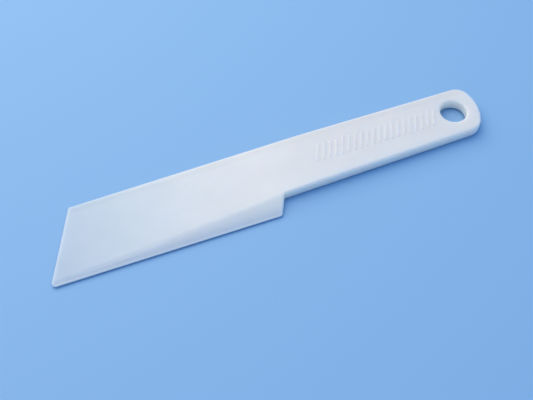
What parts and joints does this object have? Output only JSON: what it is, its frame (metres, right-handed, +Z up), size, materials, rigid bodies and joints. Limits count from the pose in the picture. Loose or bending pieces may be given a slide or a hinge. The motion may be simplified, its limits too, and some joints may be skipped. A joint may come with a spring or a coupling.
{
  "type": "flexible putty knife",
  "caption": "Flat one-piece plastic putty knife: thin slanted flexible blade with a bevelled long edge, stepped to a narrower straight handle with a round hanging hole.",
  "frame": {"origin": "on the flat underside, below the middle of the bounding box", "axes": "+X from the scraping tip to the hanging end, +Y to the straight back edge, +Z up out of the flat underside"},
  "size_m": [0.2032, 0.035, 0.0052],
  "materials": {
    "moulding": "natural, uncoloured polypropylene: milky, slightly translucent, satin"
  },
  "bodies": {
    "root": {"knife_moulding": "moulding"}
  },
  "joints": []
}
